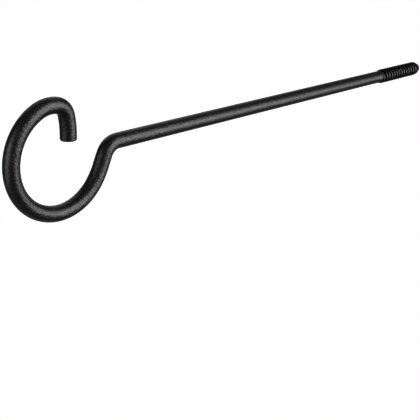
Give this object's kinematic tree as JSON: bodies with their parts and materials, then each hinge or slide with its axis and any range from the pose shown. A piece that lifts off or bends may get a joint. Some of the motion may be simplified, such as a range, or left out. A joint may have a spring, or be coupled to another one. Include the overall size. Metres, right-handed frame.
{
  "type": "screw-in plant hook",
  "caption": "Long black steel rod hook with a near-closed offset loop for a hanging plant and a coarse screw thread for wood.",
  "frame": {"origin": "on the shank's axis where the screw thread begins, which is the face of the wall or joist once the hook is screwed home", "axes": "+X along the thread towards its nose, into the wood; the loop is at -X and lies in the XZ plane; -Z is the way the loop's tip points; +Z is the open side of the loop, up in use on a wall"},
  "size_m": [0.3048, 0.0078, 0.0498],
  "materials": {
    "coated_rod": "satin",
    "black_thread": "satin"
  },
  "bodies": {
    "root": {"hook_rod": "coated_rod", "screw_thread": "black_thread"}
  },
  "joints": []
}
